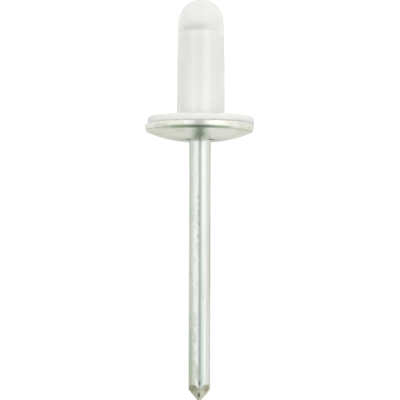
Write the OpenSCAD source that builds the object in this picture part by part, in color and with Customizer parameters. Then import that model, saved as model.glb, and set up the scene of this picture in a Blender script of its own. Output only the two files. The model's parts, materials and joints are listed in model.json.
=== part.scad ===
// Blind rivet with a large flange and a moulded sealing cap, as it comes from the box.
// A steel shell holds a steel mandrel, and a plastic cap covers the shell's blind end.
// Every piece is turned about one line, the rivet's own axis, and measured along it from
// the seat: the face of the cap's flange that meets the panel. Heights are positive
// towards the cap's dome and negative towards the mandrel's point.
// The finished rivet lies on its flange and on the mandrel's point, as it does on a table.

/* [Sealing cap] */
// Wall of the cap round the shell
cap_wall = 0.95; // [0.6:0.05:1.4]
// Room between the shell's tube and the cap's bore, on the radius
cap_play = 0.3; // [0.1:0.05:0.5]
// Room inside the dome above the mandrel's head
dome_room = 3.8; // [1:0.1:10]
// Length of the sleeve above the seat that has no taper
grip_len = 9; // [4:0.5:12]
// What the sleeve's radius loses between there and the dome
cap_taper = 0.14; // [0.05:0.01:0.3]
// Height of the domed end
dome_h = 5.4; // [3.5:0.1:7]
// How far the cap's flange is set back from the edge of the shell's
flange_inset = 0.25; // [0:0.05:1.5]
// Thickness of the cap's flange
cap_flange_t = 1.5; // [1:0.1:2.5]
// Rounding of the cap flange's edges
cap_edge_r = 0.38; // [0.1:0.02:0.45]
// Bevel at the mouth of the cap's bore, clear of the shell's root
cap_bevel = 0.5; // [0.45:0.05:0.8]

/* [Shell] */
// Outside diameter of the tube
tube_d = 7.5; // [6.6:0.1:9]
// Length of the tube above its flange
tube_len = 16.3; // [13:0.1:17]
// Rounding where the tube meets its flange
root_r = 0.3; // [0.1:0.05:0.4]
// Diameter of the shell's flange
flange_d = 22.9; // [19:0.1:27]
// Height of the flange's upright rim
rim_h = 1.6; // [1.3:0.1:2.2]
// Rounding of the rim's edge next to the cap
rim_top_r = 0.6; // [0.3:0.05:0.8]
// Rounding of the rim's side below that edge
rim_side_r = 1.65; // [1.55:0.05:2.5]
// Radius of the domed face round the mandrel
crown_r = 29.6; // [22:0.1:40]
// Radius at which the domed face turns in towards the hole
crest_at = 5.3; // [4.6:0.1:6.5]
// Rounding of that turn
crest_r = 2; // [0.8:0.1:3]
// Slope of the shallow dish between the turn and the hole, in degrees
dish_slope = 9; // [3:0.5:12]
// Rounding of the hole's lip
lip_r = 0.6; // [0.3:0.05:0.9]

/* [Mandrel] */
// Diameter of the mandrel's stem
stem_d = 4.5; // [3.4:0.1:5.2]
// Room between the stem and the shell's bore, on the radius
stem_play = 0.15; // [0.1:0.05:0.3]
// Length from the shell's blind end to the point
stem_len = 74.1; // [50:0.1:90]
// Height of the head's straight side
head_side = 3.4; // [2:0.1:4]
// Height of the head's crown
head_crown = 2.1; // [1:0.1:2.6]
// Depth of the neck at which the mandrel breaks
neck_depth = 0.5; // [0.3:0.05:0.9]
// Distance of the neck from the shell's blind end
neck_at = 9.5; // [5:0.5:12]
// Angle between the axis and the point's four ridges
ridge_angle = 41; // [30:1:50]
// Distance by which the point is blunted
blunt = 0.35; // [0.1:0.05:0.6]

/* [Hidden] */
$fn = 96;

// Steps in an arc of the profiles
arc_steps = 10;

// Heights along the axis
seat = 0;
shell_top = seat - cap_flange_t;
tube_end = shell_top + tube_len;
rim_bottom = shell_top - rim_h;
cap_top = tube_end + head_side + head_crown + dome_room + cap_wall;
dome_base = cap_top - dome_h;
point_end = tube_end - stem_len;

// Radii
tube_r = tube_d / 2;
stem_r = stem_d / 2;
bore_r = stem_r + stem_play;
cavity_r = tube_r + cap_play;
cap_r = cavity_r + cap_wall;
cap_end_r = cap_r - cap_taper;
flange_r = flange_d / 2;
cap_flange_r = flange_r - flange_inset;

// The shell hangs to one side of the mandrel, and the cap has slid to the other
shell_side = -0.8 * stem_play;
cap_side = shell_side + 0.9 * cap_play;

// Centre of the rim's side, and the corner where it meets the domed face
rim_centre = [flange_r - rim_side_r, shell_top - rim_top_r];
rim_turn = asin((rim_h - rim_top_r) / rim_side_r);
rim_corner_r = rim_centre[0] + rim_side_r * cos(rim_turn);

// Centre of the domed face, and its half angles at the rim and at the crest
crown_centre = [0, rim_bottom + sqrt(pow(crown_r, 2) - pow(rim_corner_r, 2))];
crown_outer = asin(rim_corner_r / crown_r);
crown_inner = asin(crest_at / crown_r);
crest_centre = crown_centre + (crown_r - crest_r) * [sin(crown_inner), -cos(crown_inner)];
crest_end = crest_centre + crest_r * [-sin(dish_slope), -cos(dish_slope)];
lip_start_r = bore_r + lip_r - lip_r * sin(dish_slope);
lip_start = [lip_start_r, crest_end[1] + (crest_end[0] - lip_start_r) * tan(dish_slope)];
lip_centre = lip_start + lip_r * [sin(dish_slope), cos(dish_slope)];

// Small bevels on the turned ends of the tube and the mandrel's head
end_bevel = 0.2;

// The point's flat sides lean less than the ridges between them
facet_angle = atan(tan(ridge_angle) * cos(45));
apex = point_end - blunt;
ridge_start = apex + stem_r / tan(ridge_angle);

// The rivet rests on the rim's side and on the stem where its lowest ridge starts
rest_arm = [rim_centre[1] - ridge_start, rim_centre[0] - stem_r];
lean = atan2(rest_arm[1], rest_arm[0]) + asin(rim_side_r / norm(rest_arm));
rest_z = stem_r * cos(lean) - ridge_start * sin(lean);

// The lying rivet's ends along Y and X give the middle of its outline
dome_reach = dome_base * cos(lean) + norm([dome_h * cos(lean), cap_end_r * sin(lean)]);
blunt_r = blunt * tan(ridge_angle);
point_reach = point_end * cos(lean) - blunt_r * sin(lean);
mid_y = (dome_reach + point_reach) / 2;
left_x = min(shell_side - flange_r, cap_side - cap_flange_r);
right_x = max(shell_side + flange_r, cap_side + cap_flange_r);
mid_x = (left_x + right_x) / 2;

// Points on an arc, from angle a0 to angle a1
function arc(centre, r, a0, a1, steps = arc_steps) =
    [for (i = [0 : steps]) let (a = a0 + (a1 - a0) * i / steps) centre + r * [cos(a), sin(a)]];

// Points on a quarter of an ellipse, from its widest place up to the axis
function dome(base_z, r, h, steps = 2 * arc_steps) =
    [for (i = [0 : steps]) let (a = 90 * i / steps) [i == steps ? 0 : r * cos(a), base_z + h * sin(a)]];

// Lays a piece that was turned about Z down in its place on the table
module lying(side = 0) {
    translate([-mid_x, -mid_y, rest_z])
        rotate([lean - 90, 0, 0])
            translate([side, 0, 0])
                children();
}

// Moulded cap: a flange, a sleeve that is straight and then tapers, and a domed blind end
module sealing_cap() {
    outside = concat(
        [[0, shell_top]],
        arc([cap_flange_r - cap_edge_r, shell_top + cap_edge_r], cap_edge_r, -90, 0),
        arc([cap_flange_r - cap_edge_r, seat - cap_edge_r], cap_edge_r, 0, 90),
        [[cap_r, seat], [cap_r, seat + grip_len]],
        dome(dome_base, cap_end_r, dome_h)
    );
    cavity = concat(
        [[0, shell_top - 1], [cavity_r + cap_bevel, shell_top - 1]],
        [[cavity_r + cap_bevel, shell_top], [cavity_r, shell_top + cap_bevel]],
        dome(dome_base, cavity_r, dome_h - cap_wall)
    );
    color([0.9, 0.91, 0.88, 0.8])
        lying(cap_side)
            difference() {
                rotate_extrude() polygon(outside);
                rotate_extrude() polygon(cavity);
            }
}

// Cold-formed shell: a tube and a large flange with a domed face, bored through
module rivet_shell() {
    profile = concat(
        [[bore_r, tube_end], [tube_r - end_bevel, tube_end], [tube_r, tube_end - end_bevel]],
        arc([tube_r + root_r, shell_top + root_r], root_r, 180, 270),
        arc([flange_r - rim_top_r, shell_top - rim_top_r], rim_top_r, 90, 0),
        arc(rim_centre, rim_side_r, 0, -rim_turn),
        arc(crown_centre, crown_r, crown_outer - 90, crown_inner - 90, 2 * arc_steps),
        arc(crest_centre, crest_r, crown_inner - 90, -dish_slope - 90),
        arc(lip_centre, lip_r, -dish_slope - 90, -180)
    );
    color([0.78, 0.78, 0.74])
        lying(shell_side)
            rotate_extrude() polygon(profile);
}

// The four flat sides of the point, as blocks that cut the stem's end
module point_cuts() {
    for (turn = [45 : 90 : 315])
        rotate([0, 0, turn])
            translate([0, 0, apex])
                rotate([0, facet_angle, 0])
                    translate([0, -stem_d, -stem_d])
                        cube([2 * stem_d, 2 * stem_d, 4 * stem_d]);
}

// Mandrel: a crowned head on the shell's blind end, a neck that breaks, a stem and a point
module mandrel() {
    neck_z = tube_end - neck_at;
    neck_r = stem_r - neck_depth;
    profile = concat(
        [[0, point_end], [stem_r, point_end]],
        [[stem_r, neck_z - neck_depth], [neck_r, neck_z], [stem_r, neck_z + neck_depth]],
        [[stem_r, tube_end], [tube_r - end_bevel, tube_end], [tube_r, tube_end + end_bevel]],
        dome(tube_end + head_side, tube_r, head_crown)
    );
    color([0.8, 0.8, 0.77])
        lying()
            difference() {
                rotate_extrude() polygon(profile);
                point_cuts();
            }
}

sealing_cap();
rivet_shell();
mandrel();
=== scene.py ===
# %% [markdown]
# A blind rivet has three pieces: a steel shell with a large flange, a steel mandrel that is
# drawn through it, and here a moulded cap that seals the blind end. All three are turned
# about one line. The frame holds them at their real size, lying on the table, and this
# lesson dresses them: it makes each surface again with finer roundings, and gives it the
# finish of plated steel or of milky plastic.

import json
from math import asin, cos, degrees, pi, radians, sin, sqrt, tan

import bpy
import numpy as np
from mathutils import Matrix, Vector


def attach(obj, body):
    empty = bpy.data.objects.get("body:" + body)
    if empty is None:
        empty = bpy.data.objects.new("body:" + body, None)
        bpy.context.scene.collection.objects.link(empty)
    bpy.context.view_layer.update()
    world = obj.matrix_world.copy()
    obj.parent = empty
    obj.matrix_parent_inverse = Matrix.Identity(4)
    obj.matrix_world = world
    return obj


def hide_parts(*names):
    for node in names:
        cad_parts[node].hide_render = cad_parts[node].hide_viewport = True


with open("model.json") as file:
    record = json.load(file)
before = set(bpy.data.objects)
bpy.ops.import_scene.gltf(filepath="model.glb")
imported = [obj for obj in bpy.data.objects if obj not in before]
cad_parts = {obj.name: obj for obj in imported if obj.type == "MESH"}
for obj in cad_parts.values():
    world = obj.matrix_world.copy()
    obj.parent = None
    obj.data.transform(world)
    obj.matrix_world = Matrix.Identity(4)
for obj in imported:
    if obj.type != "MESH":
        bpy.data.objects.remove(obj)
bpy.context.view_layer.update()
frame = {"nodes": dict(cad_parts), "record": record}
mounts = {mount["name"]: mount for mount in frame["record"]["mounts"]}

# %% [markdown]
# The rivet lies at a slant, so its own frame is a line and a zero on it. The record's mounts
# give both: the sleeve's mount points along the axis to the dome, the stem's mount lies on
# the mandrel's axis, and the seat is the plane that all heights are counted from. Sizes here
# are millimetres in that frame, with heights positive towards the dome.

# %% The rivet's own frame
MM = 0.001
axis = Vector(mounts["grip_sleeve"]["axis"]).normalized()
stem_place = Vector(mounts["stem"]["pos_m"])
seat_place = Vector(mounts["seat"]["pos_m"])
origin = stem_place + axis * (seat_place - stem_place).dot(axis)
lean = asin(axis.z)
turn_down = Matrix.Rotation(lean - pi / 2, 4, "X")
own_frame = Matrix.Translation(origin) @ turn_down @ Matrix.Scale(MM, 4)
print("lean", round(degrees(lean), 2), "degrees, zero at", tuple(round(v, 5) for v in origin))

# %% [markdown]
# The driving sizes are read off the frame's own meshes, so the dressed pieces can't drift
# from the solids. Each node's corners are turned into the rivet's frame, and give its
# radii and heights.

# %% Read the solids' radii and heights
def own_corners(node):
    """A node's mesh corners in the rivet's own frame, in millimetres: the inverse of the
    lying place, applied to all corners at once."""
    mesh = frame["nodes"][node].data
    flat = np.empty(len(mesh.vertices) * 3)
    mesh.vertices.foreach_get("co", flat)
    world = np.array(frame["nodes"][node].matrix_world)
    back = np.array(own_frame.inverted()) @ world
    return flat.reshape(-1, 3) @ back[:3, :3].T + back[:3, 3]


def middle_x(corners):
    """The X of the line that a turned piece was turned about."""
    return (corners[:, 0].min() + corners[:, 0].max()) / 2


cap_corners = own_corners("sealing_cap")
shell_corners = own_corners("rivet_shell")
mandrel_corners = own_corners("mandrel")
cap_side = middle_x(cap_corners)
shell_side = middle_x(shell_corners)
cap_top = cap_corners[:, 2].max()
shell_top = cap_corners[:, 2].min()
cap_flange_r = np.ptp(cap_corners[:, 0]) / 2
flange_r = np.ptp(shell_corners[:, 0]) / 2
tube_end = shell_corners[:, 2].max()
tube_r = np.ptp(mandrel_corners[:, 0]) / 2
head_top = mandrel_corners[:, 2].max()
point_end = mandrel_corners[:, 2].min()
stem_r = mounts["stem"]["dims"]["r_mm"]
cap_r = mounts["grip_sleeve"]["dims"]["r_mm"]
grip_len = mounts["grip_sleeve"]["dims"]["length_mm"]
print("cap side", round(cap_side, 3), "shell side", round(shell_side, 3), "cap top", round(cap_top, 2))
print("flange", round(flange_r, 2), "tube end", round(tube_end, 2), "point", round(point_end, 2))

# %% [markdown]
# A turned piece is a profile, a line of radius and height, carried round the axis. The
# profile is worked out from arcs and straight runs. Arcs are cut finely enough that the
# shading never shows their corners.

# %% Arcs and domes for the profiles
SAME_PLACE = 1e-6


def arc(centre, radius, start, stop, steps=14):
    """Points at equal angles on a circle, angles in degrees: centre + radius (cos, sin)."""
    angle = np.radians(np.linspace(start, stop, steps + 1))
    return np.column_stack((centre[0] + radius * np.cos(angle), centre[1] + radius * np.sin(angle)))


def dome(base, radius, height, steps=40):
    """A quarter of an ellipse from its widest place to the axis: radius cos, height sin."""
    angle = np.linspace(0, pi / 2, steps + 1)
    points = np.column_stack((radius * np.cos(angle), base + height * np.sin(angle)))
    points[-1, 0] = 0
    return points


def run(start, stop, steps=1):
    """Points at equal steps on a straight line, both ends among them."""
    share = np.linspace(0, 1, steps + 1)[:, None]
    return np.array(start) * (1 - share) + np.array(stop) * share


def joined(*stretches):
    """The stretches of a profile one after another, without points that lie twice."""
    points = np.vstack(stretches)
    apart = np.hypot(*np.diff(points, axis=0).T) > SAME_PLACE
    return points[np.concatenate(([True], apart))]


# %% [markdown]
# The surface is a grid with one row for each profile point and one column for each step
# round. A row on the axis closes to a single point. The quads are built as whole index
# arrays, and the grid's own two parameters, the angle and the length along the profile,
# become the UV map.

# %% Turn a grid of rings into a mesh
AROUND = 288
POLE_R = 1e-9
SHARP_ANGLE = 30


def ring_faces(rows, columns, closed):
    """Corner numbers of the quads between neighbouring rows: row * columns + column."""
    row = np.arange(rows if closed else rows - 1)[:, None]
    column = np.arange(columns)[None, :]
    after = (column + 1) % columns
    above = (row + 1) % rows
    this_row = row * columns
    next_row = above * columns
    corners = (this_row + column, this_row + after, next_row + after, next_row + column)
    return np.stack(np.broadcast_arrays(*corners), axis=-1).reshape(-1, 4)


def turned_mesh(name, radius, height, side, closed=False):
    """A mesh from radius and height arrays, rows by columns: x = side + radius cos(angle),
    y = radius sin(angle), z = height. An end row of no radius becomes a pole, and the
    last row of a closed profile joins its first."""
    rows, columns = radius.shape
    angle = np.arange(columns) * 2 * pi / columns
    grid = np.stack((side + radius * np.cos(angle), radius * np.sin(angle), height), axis=-1)
    number = np.arange(rows * columns).reshape(rows, columns)
    for row in (0, rows - 1):
        if not closed and radius[row].max() < POLE_R:
            number[row] = number[row, 0]
    faces = number.ravel()[ring_faces(rows, columns, closed)]
    used, faces = np.unique(faces, return_inverse=True)
    faces = faces.reshape(-1, 4)
    points = grid.reshape(-1, 3)[used]
    place = np.array(own_frame)
    points = points @ place[:3, :3].T + place[:3, 3]
    low_pole = faces[:, 0] == faces[:, 1]
    high_pole = faces[:, 2] == faces[:, 3]
    quads = faces[~low_pole & ~high_pole]
    triangles = np.vstack((faces[low_pole][:, [0, 2, 3]], faces[high_pole][:, [0, 1, 2]]))
    mesh = bpy.data.meshes.new(name)
    mesh.from_pydata(points.tolist(), [], quads.tolist() + triangles.tolist())
    lay_uv(mesh, used, rows, columns)
    mesh.polygons.foreach_set("use_smooth", np.ones(len(mesh.polygons), bool))
    mesh.set_sharp_from_angle(angle=radians(SHARP_ANGLE))
    mesh.update()
    piece = bpy.data.objects.new(name, mesh)
    bpy.context.scene.collection.objects.link(piece)
    print(name, len(mesh.vertices), "corners", len(mesh.polygons), "faces")
    return piece


def lay_uv(mesh, used, rows, columns):
    """UV from the grid's numbers: u is the share of a turn and v the share of the rows. The
    last column's faces count on past one, so that no face runs back across the map."""
    corner = np.empty(len(mesh.loops), int)
    mesh.loops.foreach_get("vertex_index", corner)
    grid_number = used[corner]
    u = (grid_number % columns) / columns
    v = (grid_number // columns) / rows
    start = np.empty(len(mesh.polygons), int)
    size = np.empty(len(mesh.polygons), int)
    mesh.polygons.foreach_get("loop_start", start)
    mesh.polygons.foreach_get("loop_total", size)
    face = np.repeat(np.arange(len(start)), size)
    widest = np.maximum.reduceat(u, start)[face]
    u = np.where(widest - u > 0.5, u + 1, u)
    layer = mesh.uv_layers.new(name="grid")
    layer.data.foreach_set("uv", np.column_stack((u, v)).ravel())


def turned(name, profile, side, closed=False):
    """A round piece: the same radius and height in every column."""
    radius = np.repeat(profile[:, :1], AROUND, axis=1)
    height = np.repeat(profile[:, 1:], AROUND, axis=1)
    return turned_mesh(name, radius, height, side, closed)


# %% [markdown]
# The cap is one moulding. Its flange seats on the panel, the sleeve is straight as far as
# the panel grips it, then loses a little radius so that it leaves the mould, and ends in a
# dome. The profile runs from the top of the dome down the outside, round the flange and
# back up the inside, so the wall is a closed body of its real thickness. The flange's
# lower edge is the sharper one. The rows are turned in the other order, which makes the
# faces look outwards.

# %% The sealing cap
CAP_WALL = 0.95
CAP_TAPER = 0.14
DOME_H = 5.4
CAP_EDGE_R = 0.38
CAP_LOWER_R = 0.22
CAP_BEVEL = 0.5
SLEEVE_ROOT_R = 0.22

cavity_r = cap_r - CAP_WALL
dome_base = cap_top - DOME_H
cap_profile = joined(
    dome(dome_base, cap_r - CAP_TAPER, DOME_H)[::-1],
    run((cap_r - CAP_TAPER, dome_base), (cap_r, grip_len), 12),
    run((cap_r, grip_len), (cap_r, SLEEVE_ROOT_R), 8),
    arc((cap_r + SLEEVE_ROOT_R, SLEEVE_ROOT_R), SLEEVE_ROOT_R, 180, 270, 8),
    run((cap_r + SLEEVE_ROOT_R, 0), (cap_flange_r - CAP_EDGE_R, 0), 6),
    arc((cap_flange_r - CAP_EDGE_R, -CAP_EDGE_R), CAP_EDGE_R, 90, 0, 8),
    arc((cap_flange_r - CAP_LOWER_R, shell_top + CAP_LOWER_R), CAP_LOWER_R, 0, -90, 8),
    run((cap_flange_r - CAP_LOWER_R, shell_top), (cavity_r + CAP_BEVEL, shell_top), 6),
    run((cavity_r + CAP_BEVEL, shell_top), (cavity_r, shell_top + CAP_BEVEL), 2),
    run((cavity_r, shell_top + CAP_BEVEL), (cavity_r, dome_base), 20),
    dome(dome_base, cavity_r, DOME_H - CAP_WALL),
)
cap = turned("sealing_cap_skin", cap_profile[::-1], cap_side)

# %% [markdown]
# The shell is cold-formed from steel. The flange's rim has a fine top edge, so that only a
# thin line parts it from the cap, then an upright stretch and a side that rolls in to a
# crease. The face round the mandrel is a shallow dome. Near the hole it turns in over a
# soft crest to a slight dish, and the hole has a rounded lip. Each arc starts where the
# one before it ends, so only radii, heights and one slope are named.

# %% The rivet shell
STEM_PLAY = 0.15
END_BEVEL = 0.2
ROOT_R = 0.3
RIM_H = 1.6
RIM_EDGE_R = 0.15
RIM_UPRIGHT = 0.6
RIM_SIDE_R = 1.65
CROWN_R = 29.6
CREST_AT = 5.3
CREST_R = 2.0
DISH_SLOPE = 9
LIP_R = 0.6

bore_r = stem_r + STEM_PLAY
rim_centre = np.array((flange_r - RIM_SIDE_R, shell_top - RIM_UPRIGHT))
rim_turn = degrees(asin((RIM_H - RIM_UPRIGHT) / RIM_SIDE_R))
rim_way = np.array((cos(radians(rim_turn)), -sin(radians(rim_turn))))
rim_corner = rim_centre + RIM_SIDE_R * rim_way
crown_centre = np.array((0, rim_corner[1] + sqrt(CROWN_R ** 2 - rim_corner[0] ** 2)))
crown_outer = degrees(asin(rim_corner[0] / CROWN_R))
crown_inner = degrees(asin(CREST_AT / CROWN_R))
crest_way = np.array((sin(radians(crown_inner)), -cos(radians(crown_inner))))
crest_centre = crown_centre + (CROWN_R - CREST_R) * crest_way
dish_way = np.array((sin(radians(DISH_SLOPE)), cos(radians(DISH_SLOPE))))
crest_end = crest_centre - CREST_R * dish_way
lip_start_r = bore_r + LIP_R - LIP_R * dish_way[0]
dish_drop = (crest_end[0] - lip_start_r) * tan(radians(DISH_SLOPE))
lip_start = np.array((lip_start_r, crest_end[1] + dish_drop))
lip_centre = lip_start + LIP_R * dish_way
shell_profile = joined(
    run((bore_r, tube_end), (tube_r - END_BEVEL, tube_end), 2),
    run((tube_r, tube_end - END_BEVEL), (tube_r, shell_top + ROOT_R), 16),
    arc((tube_r + ROOT_R, shell_top + ROOT_R), ROOT_R, 180, 270, 6),
    arc((flange_r - RIM_EDGE_R, shell_top - RIM_EDGE_R), RIM_EDGE_R, 90, 0),
    arc(rim_centre, RIM_SIDE_R, 0, -rim_turn, 16),
    arc(crown_centre, CROWN_R, crown_outer - 90, crown_inner - 90, 48),
    arc(crest_centre, CREST_R, crown_inner - 90, -DISH_SLOPE - 90, 12),
    arc(lip_centre, LIP_R, -DISH_SLOPE - 90, -180),
    run((bore_r, lip_centre[1]), (bore_r, tube_end), 16)[:-1],
)
shell = turned("rivet_shell_skin", shell_profile[::-1], shell_side, closed=True)
mouth = float(lip_centre[1] - LIP_R)
print("rim corner", rim_corner.round(2), "crest ends", crest_end.round(2), "mouth", round(mouth, 2))

# %% [markdown]
# The mandrel is drawn wire with a headed end. Its point is pinched off by four flat sides,
# so a cut straight through it is a square with soft corners. A turned profile can't say
# that, so the point's radius is a function of angle and height: the distance to the nearest
# flat side, with a high power mean in place of the smallest, which rounds the ridges. The
# rows follow the scalloped edge where the flats leave the round stem.

# %% The mandrel's four-sided point
RIDGE_ANGLE = 41
BLUNT = 0.35
RIDGE_SHARPNESS = 70
EDGE_SOFTNESS = 0.06
ROWS_START = 0.9

angle = np.arange(AROUND) * 2 * pi / AROUND
facet_slope = tan(radians(RIDGE_ANGLE)) * cos(pi / 4)
facing = np.stack([np.cos(angle - (k + 0.5) * pi / 2) for k in range(4)])
square = (np.clip(facing, 0, None) ** RIDGE_SHARPNESS).sum(axis=0) ** (1 / RIDGE_SHARPNESS)
apex = point_end - BLUNT
scallop = apex + stem_r * square / facet_slope


def point_radius(height):
    """The smaller of the stem's radius and the flats' distance from the axis, with the
    corner between them rounded: the mean of both, less the root of half their difference
    squared and a softness squared."""
    flats = np.maximum((height - apex) * facet_slope / square, 0)
    return (stem_r + flats) / 2 - np.sqrt(((stem_r - flats) / 2) ** 2 + EDGE_SOFTNESS ** 2)


def point_rows(rows_above=10, rows_below=36):
    """Heights, rows by columns: rows that close in on the scalloped edge from above, as
    the square of a share, and rows that open again towards the blunt end, as its power
    of one and a half."""
    above = (np.linspace(1, 0, rows_above) ** 2 * ROWS_START)[:, None]
    below = (np.linspace(0, 1, rows_below)[1:] ** 1.5)[:, None]
    return np.vstack((scallop + above, scallop + (point_end - scallop) * below))


print("scalloped edge from", round(scallop.min(), 2), "to", round(scallop.max(), 2))

# %% [markdown]
# From the head to the scalloped edge the mandrel is a turned profile again: a crowned
# head as wide as the tube, the neck at which it breaks, and the long bare stem. Its rows
# and the point's are stacked in one grid, and a ring halfway in closes the blunt end to a
# pole.

# %% The mandrel
HEAD_SIDE = 3.4
NECK_DEPTH = 0.5
NECK_AT = 9.5
PLAIN_STEM_STOP = 1.5

neck_z = tube_end - NECK_AT
mandrel_profile = joined(
    dome(tube_end + HEAD_SIDE, tube_r, head_top - tube_end - HEAD_SIDE)[::-1],
    run((tube_r, tube_end + HEAD_SIDE), (tube_r, tube_end + END_BEVEL), 4),
    run((tube_r - END_BEVEL, tube_end), (stem_r, tube_end), 2),
    run((stem_r, neck_z + NECK_DEPTH), (stem_r - NECK_DEPTH, neck_z), 2),
    run((stem_r, neck_z - NECK_DEPTH), (stem_r, scallop.max() + PLAIN_STEM_STOP), 40),
)
point_heights = point_rows()
radius = np.vstack((np.repeat(mandrel_profile[:, :1], AROUND, axis=1), point_radius(point_heights)))
height = np.vstack((np.repeat(mandrel_profile[:, 1:], AROUND, axis=1), point_heights))
radius = np.vstack((radius, radius[-1:] * 0.5, np.zeros((1, AROUND))))
height = np.vstack((height, np.full((2, AROUND), point_end)))
mandrel = turned_mesh("mandrel_skin", radius[::-1], height[::-1], 0)

# %% [markdown]
# The pieces ride on the rivet's one body and stand for their solids.

# %% Seat the pieces on the frame
for piece, node, slot in ((cap, "sealing_cap", "cap_plastic"),
                          (shell, "rivet_shell", "shell_zinc"),
                          (mandrel, "mandrel", "mandrel_zinc")):
    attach(piece, "root")
    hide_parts(node)

# %% [markdown]
# Materials are written as sums. A small class wraps a socket, and each operator on it adds
# the Math node that does the sum, so a mask reads like the formula it is. Any other node
# comes from one method, which takes the node's kind, its settings and its inputs. Colours
# go through Mix, because a Math node would turn them grey.

# %% Shader sums
class Flow:
    """A socket in a node tree. An operator on it adds the Math node for that sum."""

    def __init__(self, recipe, socket):
        self.recipe = recipe
        self.socket = socket

    def math(self, operation, *values):
        return self.recipe.add("ShaderNodeMath", {"operation": operation}, dict(enumerate(values)))

    def __add__(self, other):
        return self.math("ADD", self, other)

    def __radd__(self, other):
        return self.math("ADD", other, self)

    def __sub__(self, other):
        return self.math("SUBTRACT", self, other)

    def __rsub__(self, other):
        return self.math("SUBTRACT", other, self)

    def __mul__(self, other):
        return self.math("MULTIPLY", self, other)

    def __rmul__(self, other):
        return self.math("MULTIPLY", other, self)

    def __abs__(self):
        return self.math("ABSOLUTE", self)

    def between(self, low, high):
        """0 below low, 1 above high, and a smooth step from one to the other."""
        settings = {"interpolation_type": "SMOOTHSTEP"}
        inputs = {"Value": self, "From Min": low, "From Max": high}
        return self.recipe.add("ShaderNodeMapRange", settings, inputs)


class Recipe:
    """The node tree of a material or of the world, and the methods that add its nodes."""

    def __init__(self, owner):
        owner.use_nodes = True
        self.tree = owner.node_tree
        self.tree.nodes.clear()

    def add(self, kind, settings=None, inputs=None, output=0):
        """A node with its settings made first and its inputs filled or linked. Inputs and
        the output go by name, or by number where a node has the same name twice."""
        node = self.tree.nodes.new(kind)
        for name, value in (settings or {}).items():
            setattr(node, name, value)
        for name, value in (inputs or {}).items():
            if isinstance(value, Flow):
                self.tree.links.new(value.socket, node.inputs[name])
            else:
                node.inputs[name].default_value = value
        return Flow(self, node.outputs[output]) if node.outputs else None

    def part(self, vector, letter):
        """One coordinate of a vector: X, Y or Z."""
        return self.add("ShaderNodeSeparateXYZ", {}, {"Vector": vector}, output=letter)

    def colour_mix(self, share, first, second):
        """first where share is 0, second where it is 1, as colours."""
        inputs = {0: share, 6: first, 7: second}
        return self.add("ShaderNodeMix", {"data_type": "RGBA"}, inputs, output=2)

    def surface(self, shader, kind="ShaderNodeOutputMaterial"):
        self.add(kind, {}, {"Surface": shader})


# %% [markdown]
# The marks on a piece follow its own shape, not the table's axes. So its material turns
# Object coordinates back into the rivet's own frame, in millimetres, and every mask is
# written with real places on the rivet. The same place feeds the noise, whose grain can
# then run along the axis.

# %% A material in the rivet's own frame
class Skin(Recipe):
    """A piece's material. Aside runs to the right in the picture, down runs towards the
    table, and along is the height on the rivet's axis, all in millimetres. A mapping of
    the TEXTURE kind undoes the place that it is given, so it finds them."""

    def __init__(self, name):
        self.material = bpy.data.materials.new(name)
        super().__init__(self.material)
        inputs = {
            "Vector": self.add("ShaderNodeTexCoord", output="Object"),
            "Location": origin,
            "Rotation": (lean - pi / 2, 0, 0),
            "Scale": (MM, MM, MM),
        }
        self.place = self.add("ShaderNodeMapping", {"vector_type": "TEXTURE"}, inputs)
        self.aside = self.part(self.place, "X")
        self.down = self.part(self.place, "Y")
        self.along = self.part(self.place, "Z")

    def from_axis(self):
        """Distance from the mandrel's axis: the length of the place with no height."""
        inputs = {0: self.place, 1: (1, 1, 0)}
        flat = self.add("ShaderNodeVectorMath", {"operation": "MULTIPLY"}, inputs)
        return self.add("ShaderNodeVectorMath", {"operation": "LENGTH"}, {0: flat}, output="Value")

    def noise(self, grains, detail=3, roughness=0.55):
        """Noise between 0 and 1, with its grains to the millimetre on each own axis."""
        inputs = {0: self.place, 1: grains}
        scaled = self.add("ShaderNodeVectorMath", {"operation": "MULTIPLY"}, inputs)
        inputs = {"Vector": scaled, "Scale": 1.0, "Detail": detail, "Roughness": roughness}
        return self.add("ShaderNodeTexNoise", {}, inputs)

    def bump(self, height, depth):
        """A normal bent by a height from 0 to 1, whose full range is a depth in metres."""
        inputs = {"Height": height, "Distance": depth, "Strength": 1.0}
        return self.add("ShaderNodeBump", {}, inputs)

    def plating(self, colour, roughness, grain, depth):
        """Plated steel: all metal, with a fine grain that bends its normal."""
        inputs = {
            "Base Color": colour,
            "Metallic": 1.0,
            "Roughness": roughness,
            "Normal": self.bump(grain, depth),
        }
        self.surface(self.add("ShaderNodeBsdfPrincipled", {}, inputs))
        return self.material


def near(value, middle, half, soft):
    """1 where a flow lies within half of middle, falling to 0 over the soft width."""
    return 1 - abs(value - middle).between(half, half + soft)


def spot(aside, along, aside_band, along_band):
    """1 on a patch of the surface, 0 off it. A band is a middle, half its width and its
    soft edge, so the patch is where a place is near both middles."""
    return near(aside, *aside_band) * near(along, *along_band)
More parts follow.
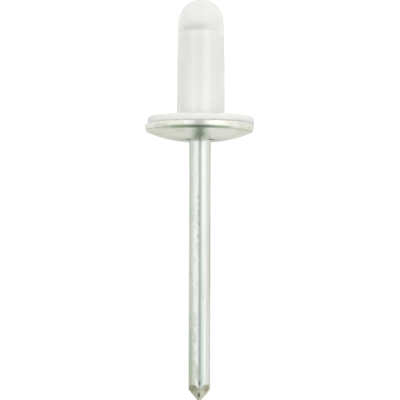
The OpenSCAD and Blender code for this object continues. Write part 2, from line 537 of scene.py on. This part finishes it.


# %% [markdown]
# Zinc plating on drawn wire adds a faint green-grey bloom in patches. Painted shade darkens
# the left side, deeper towards the point, and the right edge, teal near the shell and olive
# towards the point. Finer marks lie over that: speckles on the left, one narrow streak, and a
# few scuffs where the stem has rubbed. Each mark is a share between 0 and 1 that lays its
# colour over the last.

# %% Zinc on the stem
STEM_LIGHT = (0.81, 0.83, 0.82, 1)
STEM_BLOOM = (0.62, 0.66, 0.58, 1)
# The next two colours tint the painted shade on the edges; the second also colours the speckles and
# scuffs.
STEM_SHADE_TEAL = (0.46, 0.57, 0.53, 1)
STEM_AGED_AND_SHADE = (0.505, 0.555, 0.46, 1)
STREAK = (0.54, 0.63, 0.61, 1)
SPECKLE_GRAINS = (2.2, 2.2, 1.1)
AGE_STARTS = -8
LEFT_SHADE_DEEPENS = -36
LEFT_EDGE_SHADE = (-1.75, -1.1)
RIGHT_EDGE_SHADE = (1.8, 2.1)
SPECKLED_LEFT = (-1.1, -0.4)
STREAK_BAND = (0.43, 0.25, 0.35)
RIGHT_SHADE_BAND = (-29, 5, 6)
SCUFFED_BANDS = ((-0.3, 0.08, 0.2), (-21, 4, 3))

age_is_full = point_end + 4
left_shade_is_deep = point_end + 7


def stem_colour(skin, bloom, upper):
    """Clean plating, then bloom, painted shade on the edges, the streak, and the speckles and scuffs.
    """
    towards_point = 1 - skin.along.between(age_is_full, AGE_STARTS)
    # Painted shade on the stem's edges: down the left, deeper towards the point, and along the right.
    deep = 1 - skin.along.between(left_shade_is_deep, LEFT_SHADE_DEEPENS)
    left = (0.4 + 0.48 * deep) * (1 - skin.aside.between(*LEFT_EDGE_SHADE))
    right = skin.aside.between(*RIGHT_EDGE_SHADE) * (0.35 + 0.55 * near(skin.along, *RIGHT_SHADE_BAND))
    streak = upper * near(skin.aside, *STREAK_BAND) * (0.1 + 0.9 * towards_point)
    grain = skin.noise(SPECKLE_GRAINS)
    speckles = grain.between(0.5, 0.66) * (0.25 + 0.75 * towards_point)
    speckles = speckles * (1 - skin.aside.between(*SPECKLED_LEFT))
    scuffs = upper * spot(skin.aside, skin.along, *SCUFFED_BANDS) * grain.between(0.45, 0.6)
    colour = skin.colour_mix(bloom, STEM_LIGHT, STEM_BLOOM)
    edge_shade_colour = skin.colour_mix(towards_point, STEM_SHADE_TEAL, STEM_AGED_AND_SHADE)
    colour = skin.colour_mix((left + right).between(0, 1), colour, edge_shade_colour)
    colour = skin.colour_mix(streak, colour, STREAK)
    return skin.colour_mix(0.65 * speckles + 0.8 * scuffs, colour, STEM_AGED_AND_SHADE)


# %% [markdown]
# The point was sheared off, so its four flats are torn and dull, and darker in a lobe on
# each side of the upper ridge. Painted shade darkens the flats on the left. A burr on that
# ridge and a bite just above it are as dark as a crevice.

# %% Torn steel on the point
POINT_LIGHT = (0.69, 0.71, 0.60, 1)
# The dark colour serves the torn steel and the painted shade on the flats' left.
POINT_DARK_AND_SHADE = (0.36, 0.36, 0.25, 1)
# Near black for the burr and bite, and for painted shade in the hole, the seam and the stem in the
# shell.
DARK_MARK_AND_SHADE = (0.03, 0.035, 0.03, 1)
TORN_GRAINS = (1.1, 1.1, 0.7)
POINT_SHADE_LEFT = (-0.5, 0.6)

lobe_bands = ((1.35, 0.35, 0.6), (point_end + 2.7, 0.35, 0.6))
burr_bands = ((-0.08, 0.11, 0.18), (point_end + 1.25, 0.3, 0.35))
bite_bands = ((0.02, 0.12, 0.2), (point_end + 3.85, 0.2, 0.4))


def point_colour(skin, colour, sheared, upper):
    """The stem's colour as far as the sheared flats, theirs from there on, and the burr."""
    # Painted shade: the flats are darker on the left.
    shade_left = 1 - skin.aside.between(*POINT_SHADE_LEFT)
    lobes = spot(abs(skin.aside), skin.along, *lobe_bands)
    torn = skin.noise(TORN_GRAINS, detail=4).between(0.38, 0.6)
    torn = 0.4 * torn + 0.3 * shade_left + 0.5 * lobes
    flats = skin.colour_mix(torn.between(0, 1), POINT_LIGHT, POINT_DARK_AND_SHADE)
    burr = upper * spot(skin.aside, skin.along, *burr_bands)
    bite = upper * spot(skin.aside, skin.along, *bite_bands)
    colour = skin.colour_mix(sheared, colour, flats)
    return skin.colour_mix(0.8 * burr + 0.5 * bite, colour, DARK_MARK_AND_SHADE)


# %% [markdown]
# Under the cap the head has stayed clean. Its crown carries a painted reflection, dark teal,
# that shows through the milk, paler on the right and in a ring near the top. The seam where
# the head sits on the tube is a fine dark line of painted shade, paler on the right, and the
# stem in the shell, where hardly any light reaches, is painted dark as painted shade.

# %% Zinc on the head
HEAD_CLEAN = (0.92, 0.92, 0.90, 1)
HEAD_PAINTED_REFLECTION = (0.10, 0.20, 0.21, 1)
REFLECTION_PALE_RIGHT = (0.3, 1.7)
SEAM_SHADE_PALE_RIGHT = (-0.5, 1)

head_start = (tube_end, tube_end + 0.1)
crown_start = (tube_end + HEAD_SIDE + 0.1, tube_end + HEAD_SIDE + 0.3)
reflection_pale_ring = (head_top - 0.85, 0.1, 0.5)
seam_shade_band = (tube_end, 0.12, 0.18)
shade_inside_from = (mouth - 0.04, mouth + 0.1)
shade_inside_to = (tube_end - 0.2, tube_end)


def head_colour(skin, colour, headed):
    """The colour so far, with clean plating on the head, the painted reflection on its crown, and
    painted shade in the seam and on the stem in the shell.
    """
    ring = near(skin.along, *reflection_pale_ring)
    # Painted reflection: the dark crown, paler on the right and in a ring near the top.
    crown_reflection = skin.along.between(*crown_start) * (1 - 0.75 * skin.aside.between(*REFLECTION_PALE_RIGHT))
    crown_reflection = crown_reflection * (1 - 0.55 * ring)
    # Painted shade in the seam, paler on the right, and on the stem inside the shell.
    seam = near(skin.along, *seam_shade_band) * (0.7 - 0.6 * skin.aside.between(*SEAM_SHADE_PALE_RIGHT))
    inside = skin.along.between(*shade_inside_from) * (1 - skin.along.between(*shade_inside_to))
    colour = skin.colour_mix(headed, colour, HEAD_CLEAN)
    colour = skin.colour_mix(crown_reflection, colour, HEAD_PAINTED_REFLECTION)
    return skin.colour_mix((inside + seam).between(0, 1), colour, DARK_MARK_AND_SHADE)


# %% [markdown]
# The die has left fine lines along the drawn wire. They are noise stretched along the axis,
# which feeds the bump and, weakly, the roughness. The bloom, the flats and the head are
# duller than clean wire.

# %% The mandrel's material
WIRE_GRAINS = (9, 9, 0.12)
WIRE_DEPTH = 0.000012
BLOOM_GRAINS = (0.5, 0.5, 0.16)
BLOOM_FADES = -10
BLOOM_PALE_RIGHT = (0.6, 1.4)
UPPER_SIDE = (-0.4, 0.2)

bloom_is_full = point_end + 2
flats_depth = (stem_r - 0.03, stem_r - 0.008)
flats_end = (point_end + 4, point_end + 5)


def mandrel_zinc():
    """The stem's, the point's and the head's colours on one piece of plated wire."""
    skin = Skin("mandrel_zinc")
    lines = skin.noise(WIRE_GRAINS, detail=4)
    upper = 1 - skin.down.between(*UPPER_SIDE)
    bloom = skin.noise(BLOOM_GRAINS, detail=5, roughness=0.6).between(0.48, 0.72)
    bloom = bloom * (1 - 0.6 * skin.along.between(bloom_is_full, BLOOM_FADES))
    bloom = bloom * (1 - 0.6 * skin.aside.between(*BLOOM_PALE_RIGHT))
    sheared = 1 - skin.from_axis().between(*flats_depth)
    sheared = sheared * (1 - skin.along.between(*flats_end))
    headed = skin.along.between(*head_start)
    colour = stem_colour(skin, bloom, upper)
    colour = point_colour(skin, colour, sheared, upper)
    colour = head_colour(skin, colour, headed)
    roughness = 0.17 + 0.1 * lines + 0.12 * bloom + 0.14 * sheared + 0.2 * headed
    return skin.plating(colour, roughness, lines, WIRE_DEPTH)


# %% [markdown]
# The shell's face was struck in a die, so its plating lies on a faint orange peel. The rim
# is brighter than the face, and painted shade darkens the face on its left. Painted shade
# also lies in the crease between rim and face, on the sides only and rising at the left, and
# the rim has one dull patch there. The hole round the mandrel is painted near black, as
# painted shade. Under the cap the plating has stayed clean and smooth.

# %% Zinc on the shell
SHELL_LIGHT = (0.93, 0.935, 0.905, 1)
SHELL_BLOOM = (0.81, 0.82, 0.74, 1)
FACE_LIGHT = (0.90, 0.905, 0.875, 1)
FACE_BLOOM = (0.76, 0.77, 0.69, 1)
SHELL_CLEAN = (0.92, 0.92, 0.90, 1)
# The grey serves the painted shade in the crease and the rim's dull patch.
SHADE_AND_DULL_GREY = (0.34, 0.36, 0.28, 1)
PEEL_GRAINS = (2.4, 2.4, 2.4)
PEEL_DEPTH = 0.00001
PATCH_GRAINS = (0.22, 0.22, 0.22)
FACE_SHADE_LEFT = (-9, 2)
CREASE_HALF = 0.05
CREASE_SOFT = 0.14
CREASE_RISE = 0.3
CREASE_RISES_LEFT = (-8.5, -6)
CREASE_SHADED_SIDES = (4, 8)

rim_foot_r, rim_foot = (float(v) for v in rim_corner)
hole_shade_edge = (bore_r + 0.56, bore_r + 0.74)
face_edge = (rim_foot - 0.15, rim_foot + 0.05)
crease_from = (rim_foot_r - 0.5, rim_foot_r - 0.1)
dull_bands = ((-8, 0.8, 1.4), (rim_foot + 0.5, 0.4, 0.5))
covered_from = (shell_top + 0.2, shell_top + 0.6)


def shell_zinc():
    """Bright rim, duller face, and painted shade on the face's left, in the crease and in the hole."""
    skin = Skin("shell_zinc")
    peel = skin.noise(PEEL_GRAINS, detail=4)
    bloom = skin.noise(PATCH_GRAINS, detail=4).between(0.4, 0.65)
    radius = skin.from_axis()
    # Painted shade: the hole round the mandrel, and its lip, are near black.
    hole = 1 - radius.between(*hole_shade_edge)
    covered = skin.along.between(*covered_from)
    face = 1 - skin.along.between(*face_edge)
    # Bloom, with painted shade that darkens the face on its left.
    face_bloom_and_shade = (bloom + 0.5 * (1 - skin.aside.between(*FACE_SHADE_LEFT))).between(0, 1)
    # Painted shade in the crease under the rim, on the sides only and rising at the left.
    rise = CREASE_RISE * (1 - skin.aside.between(*CREASE_RISES_LEFT))
    crease = near(skin.along - rise, rim_foot, CREASE_HALF, CREASE_SOFT)
    crease = crease * radius.between(*crease_from) * abs(skin.aside).between(*CREASE_SHADED_SIDES)
    dull = spot(skin.aside, skin.along, *dull_bands)
    colour = skin.colour_mix(bloom, SHELL_LIGHT, SHELL_BLOOM)
    face_colour = skin.colour_mix(face_bloom_and_shade, FACE_LIGHT, FACE_BLOOM)
    colour = skin.colour_mix(face, colour, face_colour)
    colour = skin.colour_mix(0.22 * dull, colour, SHADE_AND_DULL_GREY)
    colour = skin.colour_mix(0.5 * crease, colour, SHADE_AND_DULL_GREY)
    colour = skin.colour_mix(covered, colour, SHELL_CLEAN)
    colour = skin.colour_mix(hole, colour, DARK_MARK_AND_SHADE)
    return skin.plating(colour, 0.2 + 0.12 * peel - 0.08 * covered, peel, PEEL_DEPTH)


# %% [markdown]
# The cap is milky plastic about a millimetre thick. Light scatters in it, so it looks nearly
# white, but what lies behind still shows a little, most of all the painted dark reflection
# on the mandrel's crown. Scattering under the surface gives the milk. Alpha is the milk's
# density: least on the dome, more on the sleeve and most on the flange, which has plastic
# behind it as well. Two painted highlights run along the sleeve as paler streaks.

# %% Milky plastic on the cap
CAP_COLOUR = (0.96, 0.953, 0.925, 1)
CAP_CLOUD = (0.94, 0.937, 0.902, 1)
CAP_PAINTED_HIGHLIGHT = (0.98, 0.965, 0.945, 1)
DOME_DENSITY = 0.47
SLEEVE_DENSITY = 0.605
FLANGE_DENSITY = 0.78
HIGHLIGHT_DENSITY = 0.05
CLOUD_GRAINS = (0.9, 0.9, 0.05)
MOULD_GRAINS = (6, 6, 6)
MOULD_DEPTH = 0.000006
SLEEVE_STARTS = (-0.1, 0.5)
DOME_STARTS = (17.5, 18.05)
HIGHLIGHT_STARTS = (0.5, 1)
RIGHT_HIGHLIGHT = (1.35, 0.2, 1.0)
LEFT_HIGHLIGHT = (-1.5, 0.1, 0.9)


def cap_plastic():
    """Scattering plastic whose alpha is the density of its milk."""
    skin = Skin("cap_plastic")
    cloud = skin.noise(CLOUD_GRAINS, detail=2).between(0.35, 0.65)
    grain = skin.noise(MOULD_GRAINS)
    domed = skin.along.between(*DOME_STARTS)
    density = FLANGE_DENSITY + (SLEEVE_DENSITY - FLANGE_DENSITY) * skin.along.between(*SLEEVE_STARTS)
    density = density + (DOME_DENSITY - SLEEVE_DENSITY) * domed
    # Painted highlights: two paler streaks along the sleeve, a little denser than the milk round them.
    flow = near(skin.aside, *RIGHT_HIGHLIGHT) + 0.8 * near(skin.aside, *LEFT_HIGHLIGHT)
    flow = flow * skin.along.between(*HIGHLIGHT_STARTS) * (1 - domed)
    milk = skin.colour_mix(cloud, CAP_COLOUR, CAP_CLOUD)
    inputs = {
        "Base Color": skin.colour_mix(0.8 * flow, milk, CAP_PAINTED_HIGHLIGHT),
        "Roughness": 0.32 + 0.06 * grain,
        "IOR": 1.5,
        "Alpha": density + HIGHLIGHT_DENSITY * flow,
        "Subsurface Weight": 0.8,
        "Subsurface Radius": (1, 1, 0.9),
        "Subsurface Scale": 0.0015,
        "Specular IOR Level": 0.35,
        "Normal": skin.bump(grain, MOULD_DEPTH),
    }
    skin.surface(skin.add("ShaderNodeBsdfPrincipled", {}, inputs))
    return skin.material


for piece, made in ((mandrel, mandrel_zinc()), (shell, shell_zinc()), (cap, cap_plastic())):
    piece.data.materials.append(made)
    print(made.name, len(made.node_tree.nodes), "nodes")

# %% [markdown]
# The photograph is a cut-out on white. The floor is a large pale sheet that shows white to
# the camera and keeps a faint shadow: it adds an even glow to a weak diffuse colour. Metal
# and plastic see another sheet, a plain grey one that glows a little, because a white floor
# would wash the dark tones out of the plating.

# %% The floor
FLOOR_SIZE = 4.0
FLOOR_GLOW = 0.9
FLOOR_TINT = (0.16, 0.16, 0.16, 1)
FLOOR_SEEN_BY_METAL = (0.58, 0.58, 0.56, 1)
FLOOR_GLOW_IN_METAL = 0.2
STUDIO_TINT = (1.0, 1.0, 0.975, 1)
WHITE = (1, 1, 1, 1)


def glowing(recipe, colour, glow_colour, glow):
    """A diffuse colour with an even glow added to it."""
    diffuse = recipe.add("ShaderNodeBsdfDiffuse", {}, {"Color": colour})
    emission = recipe.add("ShaderNodeEmission", {}, {"Color": glow_colour, "Strength": glow})
    return recipe.add("ShaderNodeAddShader", {}, {0: diffuse, 1: emission})


def floor_sheet():
    """A square sheet under the rivet: white to the camera, grey to everything else."""
    mesh = bpy.data.meshes.new("floor")
    half = FLOOR_SIZE / 2
    corners = [(-half, -half, 0), (half, -half, 0), (half, half, 0), (-half, half, 0)]
    mesh.from_pydata(corners, [], [(0, 1, 2, 3)])
    sheet = bpy.data.objects.new("floor", mesh)
    bpy.context.scene.collection.objects.link(sheet)
    made = bpy.data.materials.new("floor")
    recipe = Recipe(made)
    white = glowing(recipe, FLOOR_TINT, WHITE, FLOOR_GLOW)
    plain = glowing(recipe, FLOOR_SEEN_BY_METAL, STUDIO_TINT, FLOOR_GLOW_IN_METAL)
    camera_ray = recipe.add("ShaderNodeLightPath", output="Is Camera Ray")
    recipe.surface(recipe.add("ShaderNodeMixShader", {}, {0: camera_ray, 1: plain, 2: white}))
    mesh.materials.append(made)
    print("floor", FLOOR_SIZE, "m square")


floor_sheet()

# %% [markdown]
# Bright metal shows what stands round it, so the studio matters more than its colour. The
# stem and the rim show the same order from the middle outwards: a grey gap over the camera,
# then a bright softbox on each side, then a paler wall. The crease under the rim, and the
# stem's own picture in the shell's face, show the dark room beyond the mandrel's end. The
# world is painted that way, as a function of direction: x runs to the right and y towards
# the dome, each from -1 to 1.

# %% The studio
GAP_LEVEL = 0.5
GAP_ASIDE = 0.015
GAP_EDGE = (0.09, 0.32)
BOX_LEVEL = 1.06
WALL_LEVEL = 0.92
WALL_EDGE = (0.82, 0.99)
BEYOND_LOSS = 0.4
BEYOND_EDGE = (0.45, 0.95)
RIGHT_BOX_GAIN = 0.14
RIGHT_BOX_START = (0.2, 0.5)
RIGHT_BOX_END = (0.72, 0.96)
ROOM_TINT = (0.115, 0.15, 0.11, 1)
ROOM_SIDE_GAIN = 1.8
ROOM_SIDE_EDGE = (0.1, 0.6)
ROOM_EDGE = (-0.74, -0.4)
ROOM_SLANT = 0.08
ROOM_WIDENS = 0.15


def studio():
    """The world: white to the camera, the painted softboxes and room to everything else."""
    world = bpy.data.worlds.new("studio")
    bpy.context.scene.world = world
    recipe = Recipe(world)
    direction = recipe.add("ShaderNodeTexCoord", output="Generated")
    x = recipe.part(direction, "X")
    y = recipe.part(direction, "Y")
    level = GAP_LEVEL + (BOX_LEVEL - GAP_LEVEL) * abs(x + GAP_ASIDE).between(*GAP_EDGE)
    level = level - (BOX_LEVEL - WALL_LEVEL) * abs(x).between(*WALL_EDGE)
    level = level * (1 - BEYOND_LOSS * y.between(*BEYOND_EDGE))
    right = RIGHT_BOX_GAIN * x.between(*RIGHT_BOX_START) * (1 - x.between(*RIGHT_BOX_END))
    boxes = recipe.add("ShaderNodeBackground", {}, {"Color": STUDIO_TINT, "Strength": level + right})
    sides = 1 + ROOM_SIDE_GAIN * abs(x).between(*ROOM_SIDE_EDGE)
    room = recipe.add("ShaderNodeBackground", {}, {"Color": ROOM_TINT, "Strength": sides})
    lit = (y + ROOM_SLANT * x - ROOM_WIDENS * abs(x)).between(*ROOM_EDGE)
    seen = recipe.add("ShaderNodeMixShader", {}, {0: lit, 1: room, 2: boxes})
    white = recipe.add("ShaderNodeBackground", {}, {"Color": WHITE, "Strength": 1.0})
    camera_ray = recipe.add("ShaderNodeLightPath", output="Is Camera Ray")
    shown = recipe.add("ShaderNodeMixShader", {}, {0: camera_ray, 1: seen, 2: white})
    recipe.surface(shown, "ShaderNodeOutputWorld")
    print("studio", len(world.node_tree.nodes), "nodes")


studio()

# %% [markdown]
# Three softboxes light the plastic and the table: one overhead, and one on each side of the
# rivet. Metal doesn't mirror them, because the painted studio already gives it all that it
# shows.

# %% The lamps
LAMP_SIZE = 0.5
SIDE_PLACE = (0.6, -0.15, 0.6)
SIDE_POWER = 0.36
TOP_PLACE = (0, 0, 0.8)
TOP_POWER = 1.96


def lamp(name, place, power):
    """A square softbox that is aimed at the middle of the table."""
    light = bpy.data.lights.new(name, "AREA")
    light.energy = power
    light.size = LAMP_SIZE
    holder = bpy.data.objects.new(name, light)
    bpy.context.scene.collection.objects.link(holder)
    holder.location = place
    aim = (Vector((0, 0, 0)) - Vector(place)).to_track_quat("-Z", "Y")
    holder.rotation_euler = aim.to_euler()
    holder.visible_glossy = False
    print(name, "at", place, "m,", power, "W")


lamp("left softbox", (-SIDE_PLACE[0], *SIDE_PLACE[1:]), SIDE_POWER)
lamp("right softbox", SIDE_PLACE, SIDE_POWER)
lamp("top softbox", TOP_PLACE, TOP_POWER)

# %% [markdown]
# The camera looks down on the lying rivet, square to it in plan, from a little towards its
# point, so that the flange shows its face round the mandrel. It stands three rivet lengths
# and a half away, as near as a close-up of a small part is taken. The picture's scale and
# its middle are lengths on the rivet, measured in the photograph.

# %% The camera
SEEN_HEIGHT = 84.03
MIDDLE_HEIGHT = -17.37
MIDDLE_ASIDE = 0.03
VIEW_TILT = 2.3
VIEW_ROLL = 0.17
DISTANCE = 0.3
SENSOR = 36.0


def camera():
    """A long lens that looks down on the rivet and frames the height that is seen."""
    view = bpy.data.cameras.new("camera")
    view.sensor_width = SENSOR
    view.lens = SENSOR * DISTANCE / (SEEN_HEIGHT * MM)
    view.clip_start = 0.01
    view.clip_end = 20
    holder = bpy.data.objects.new("camera", view)
    bpy.context.scene.collection.objects.link(holder)
    down = radians(90) - lean - radians(VIEW_TILT)
    forward = Vector((0, cos(down), -sin(down)))
    middle = origin + axis * (MIDDLE_HEIGHT * MM) + Vector((MIDDLE_ASIDE * MM, 0, 0))
    holder.location = middle - forward * DISTANCE
    turn = Matrix.Rotation(radians(90) - down, 4, "X") @ Matrix.Rotation(radians(VIEW_ROLL), 4, "Z")
    holder.rotation_euler = turn.to_euler()
    bpy.context.scene.camera = holder
    print("camera", degrees(down), "degrees down, lens", round(view.lens, 1))


camera()

# %% [markdown]
# The view transform stays plain, so a colour shows as it is written.

# %% Finish
bpy.context.scene.view_settings.view_transform = "Standard"
